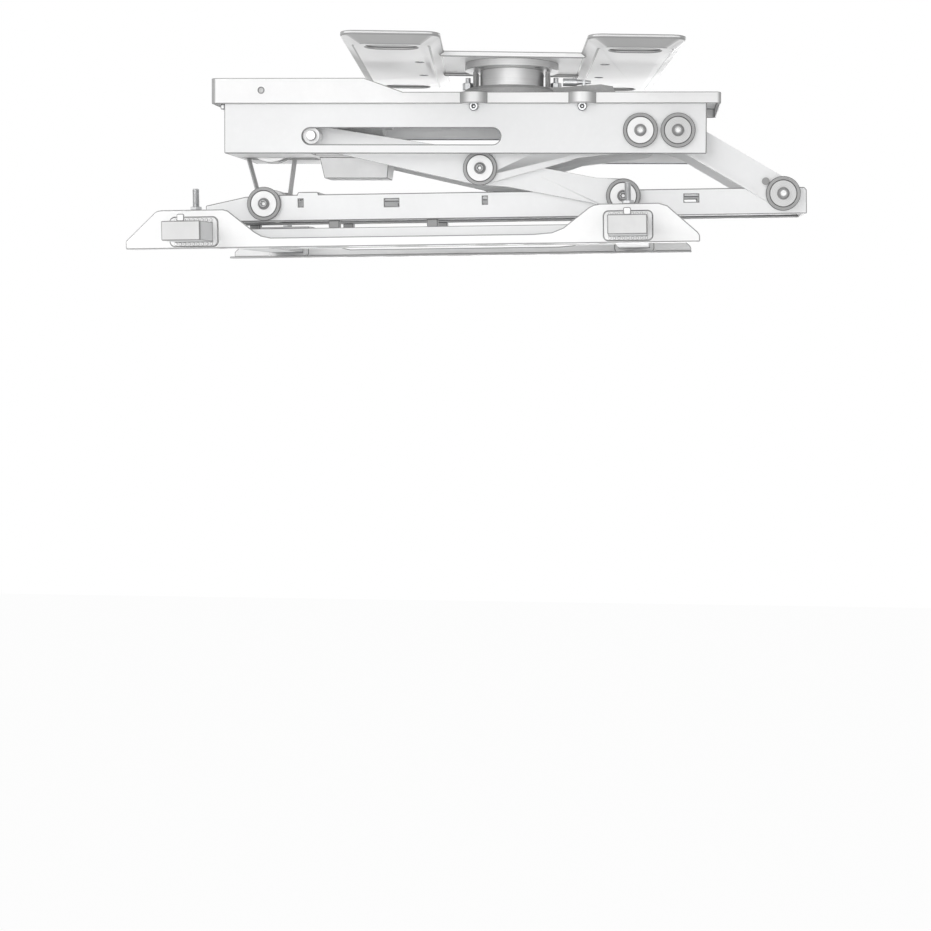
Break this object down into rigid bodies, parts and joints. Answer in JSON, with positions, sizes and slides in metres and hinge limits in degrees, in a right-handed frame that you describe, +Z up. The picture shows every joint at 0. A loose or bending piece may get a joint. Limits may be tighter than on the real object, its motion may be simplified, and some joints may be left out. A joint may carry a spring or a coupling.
{
  "type": "motorized tv ceiling mount",
  "caption": "Motorised flip-down television mount: pressed ceiling plate with swivel, slotted chassis, folding links, strap winch, boom and adjustable television brackets.",
  "frame": {"origin": "On the swivel axis in the plane of the ceiling, where the ceiling plate's rims rest", "axes": "+Z up to the ceiling, +X along the folded boom from the strap pulley to the rear link, +Y to the far side"},
  "size_m": [0.7254, 0.517, 0.2293],
  "materials": {
    "white_sheet": "satin powder coat",
    "pale_grey_sheet": "satin powder coat",
    "bright_steel": "turned",
    "rail_steel": "satin",
    "screw_steel": "zinc plated",
    "dark_casting": "painted",
    "dark_bush": "moulded",
    "white_washer": "moulded",
    "grey_plastic": "fine texture",
    "webbing": "woven"
  },
  "bodies": {
    "ceiling_bracket": {"ceiling_plate": "white_sheet", "swivel_spindle": "bright_steel", "ring_bolts": "screw_steel", "spindle_clip": "screw_steel"},
    "chassis": {"hub_base": "dark_casting", "hub_bolts": "bright_steel", "swivel_lock_screw": "bright_steel", "top_cover": "white_sheet", "cover_screws": "screw_steel", "chassis_channel": "pale_grey_sheet", "bottom_plate": "white_sheet", "control_box": "grey_plastic", "winch_motor": "dark_casting", "winch_gearbox": "dark_casting", "drum_bearings": "dark_bush", "strap_anchor_pin": "bright_steel", "fixed_pivot_pins": "bright_steel", "fixed_pivot_collars": "dark_bush", "fixed_pivot_washers": "white_washer", "fixed_pivot_screws": "screw_steel"},
    "drum": {"winch_drum": "bright_steel", "wound_strap": "webbing"},
    "front_link": {"front_link_near": "pale_grey_sheet", "front_link_far": "pale_grey_sheet", "front_link_pins": "bright_steel", "front_link_collars": "dark_bush", "front_link_washers": "white_washer", "front_link_screws": "screw_steel"},
    "slider_arm": {"slider_arm_near": "pale_grey_sheet", "slider_arm_far": "pale_grey_sheet", "slot_pin": "bright_steel", "slot_spacers": "dark_bush", "arm_axle": "bright_steel", "arm_collars": "dark_bush", "arm_washers": "white_washer", "arm_screws": "screw_steel"},
    "rear_link": {"rear_link_near": "pale_grey_sheet", "rear_link_far": "pale_grey_sheet", "rear_link_pins": "bright_steel", "rear_axle": "bright_steel", "rear_link_collars": "dark_bush", "rear_link_washers": "white_washer", "rear_link_screws": "screw_steel"},
    "boom": {"boom": "pale_grey_sheet", "pulley_axle": "bright_steel", "pulley_bushes": "dark_bush", "pulley_washers": "white_washer", "rail_spacers": "dark_bush", "frame_spars": "pale_grey_sheet", "cross_rails": "rail_steel", "rail_end_caps": "grey_plastic"},
    "pulley": {"strap_pulley": "white_washer"},
    "strap_top": {"strap_strands": "webbing"},
    "strap_bottom": {"strap_bight": "webbing"},
    "near_bracket": {"tv_bracket_near": "white_sheet", "near_clamps": "dark_bush", "near_clamp_studs": "bright_steel"},
    "far_bracket": {"tv_bracket_far": "white_sheet", "far_clamps": "dark_bush", "far_clamp_studs": "bright_steel"}
  },
  "joints": [
    {"name": "swivel", "type": "hinge", "parent": "ceiling_bracket", "child": "chassis", "pos_m": [0, 0, -0.03], "axis": [0, 0, 1], "range_deg": [-90, 90]},
    {"name": "fold", "type": "hinge", "parent": "chassis", "child": "front_link", "pos_m": [0.151, 0, -0.09], "axis": [0, -1, 0], "range_deg": [0, 54]},
    {"name": "front_pivot", "type": "hinge", "parent": "front_link", "child": "slider_arm", "pos_m": [-0.03027, 0, -0.13168], "axis": [0, -1, 0], "range_deg": [-101.47, 0]},
    {"name": "boom_pivot", "type": "hinge", "parent": "slider_arm", "child": "boom", "pos_m": [0.13187, 0, -0.1623], "axis": [0, -1, 0], "range_deg": [0, 122.53]},
    {"name": "rear_pivot", "type": "hinge", "parent": "boom", "child": "rear_link", "pos_m": [0.31184, 0, -0.15917], "axis": [0, -1, 0], "range_deg": [-128.37, 0]},
    {"name": "pulley_spin", "type": "hinge", "parent": "boom", "child": "pulley", "pos_m": [-0.28003, 0, -0.17197], "axis": [0, -1, 0], "range_deg": [-2673.54, 0]},
    {"name": "drum_spin", "type": "hinge", "parent": "chassis", "child": "drum", "pos_m": [-0.283, 0, -0.09], "axis": [0, -1, 0], "range_deg": [-4210.92, 0]},
    {"name": "strap_swing", "type": "hinge", "parent": "boom", "child": "strap_bottom", "pos_m": [-0.28003, 0, -0.17197], "axis": [0, -1, 0], "range_deg": [-57.05, 0]},
    {"name": "strap_payout", "type": "slide", "parent": "strap_bottom", "child": "strap_top", "axis": [-0.164, 0, 0.9865], "range_m": [0, 0.7166], "deforming": ["strap_strands"]},
    {"name": "near_bracket_slide", "type": "slide", "parent": "boom", "child": "near_bracket", "axis": [0, 1, 0], "range_m": [-0.035, 0.1]},
    {"name": "far_bracket_slide", "type": "slide", "parent": "boom", "child": "far_bracket", "axis": [0, -1, 0], "range_m": [-0.035, 0.1]}
  ],
  "couplings": [
    {"joint": "front_pivot", "follows": "fold", "ratio": -1.8789},
    {"joint": "boom_pivot", "follows": "fold", "ratio": 2.2691},
    {"joint": "rear_pivot", "follows": "fold", "ratio": -2.377},
    {"joint": "pulley_spin", "follows": "fold", "ratio": -49.51},
    {"joint": "drum_spin", "follows": "fold", "ratio": -77.98},
    {"joint": "strap_swing", "follows": "fold", "ratio": -1.0565},
    {"joint": "strap_payout", "follows": "fold", "m_per_rad": 0.7603}
  ]
}
